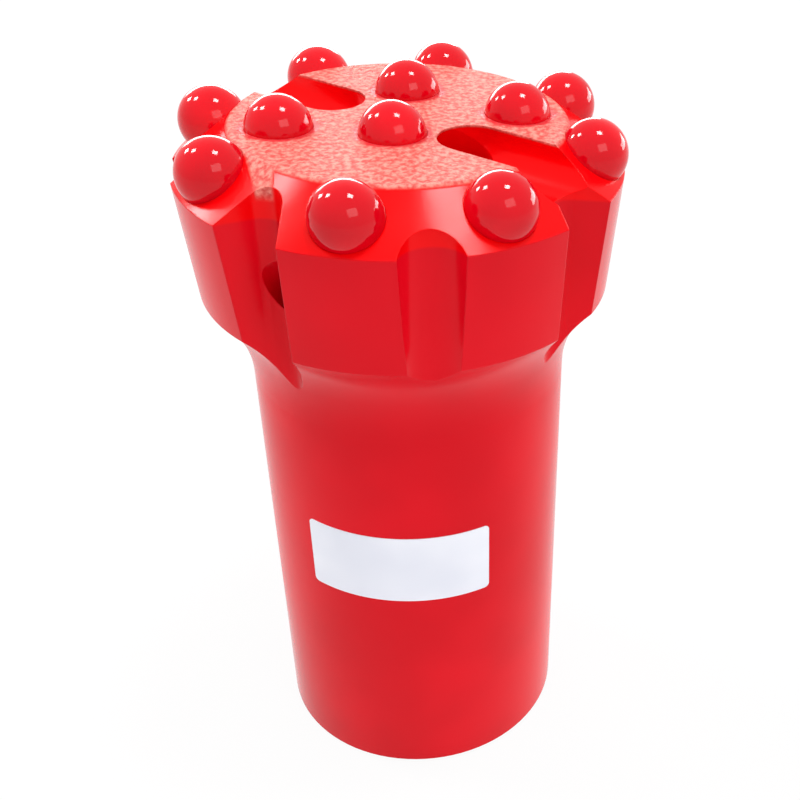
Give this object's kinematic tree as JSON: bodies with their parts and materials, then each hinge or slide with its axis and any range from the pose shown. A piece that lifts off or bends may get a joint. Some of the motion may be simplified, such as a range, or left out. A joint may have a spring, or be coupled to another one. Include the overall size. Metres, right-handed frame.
{
  "type": "button drill bit",
  "caption": "Threaded top-hammer button drill bit: a flared steel head with domed carbide buttons, cuttings grooves and flushing holes on a long hollow skirt.",
  "frame": {"origin": "centre of the skirt's rim, on the floor that the bit stands on", "axes": "+Z along the bit's axis from the skirt to the face; -Y through the middle of the front pair of gauge buttons, just left of the side the picture was taken from"},
  "size_m": [0.087, 0.087, 0.1548],
  "materials": {
    "body_paint": "glossy red paint over forged and machined steel",
    "button_paint": "glossy red paint over ground carbide",
    "label_vinyl": "white satin vinyl, blank"
  },
  "bodies": {
    "root": {"bit_body": "body_paint", "gauge_button_1": "button_paint", "gauge_button_2": "button_paint", "gauge_button_3": "button_paint", "gauge_button_4": "button_paint", "gauge_button_5": "button_paint", "gauge_button_6": "button_paint", "gauge_button_7": "button_paint", "gauge_button_8": "button_paint", "face_button_1": "button_paint", "face_button_2": "button_paint", "face_button_3": "button_paint", "face_button_4": "button_paint", "label": "label_vinyl"}
  },
  "joints": []
}
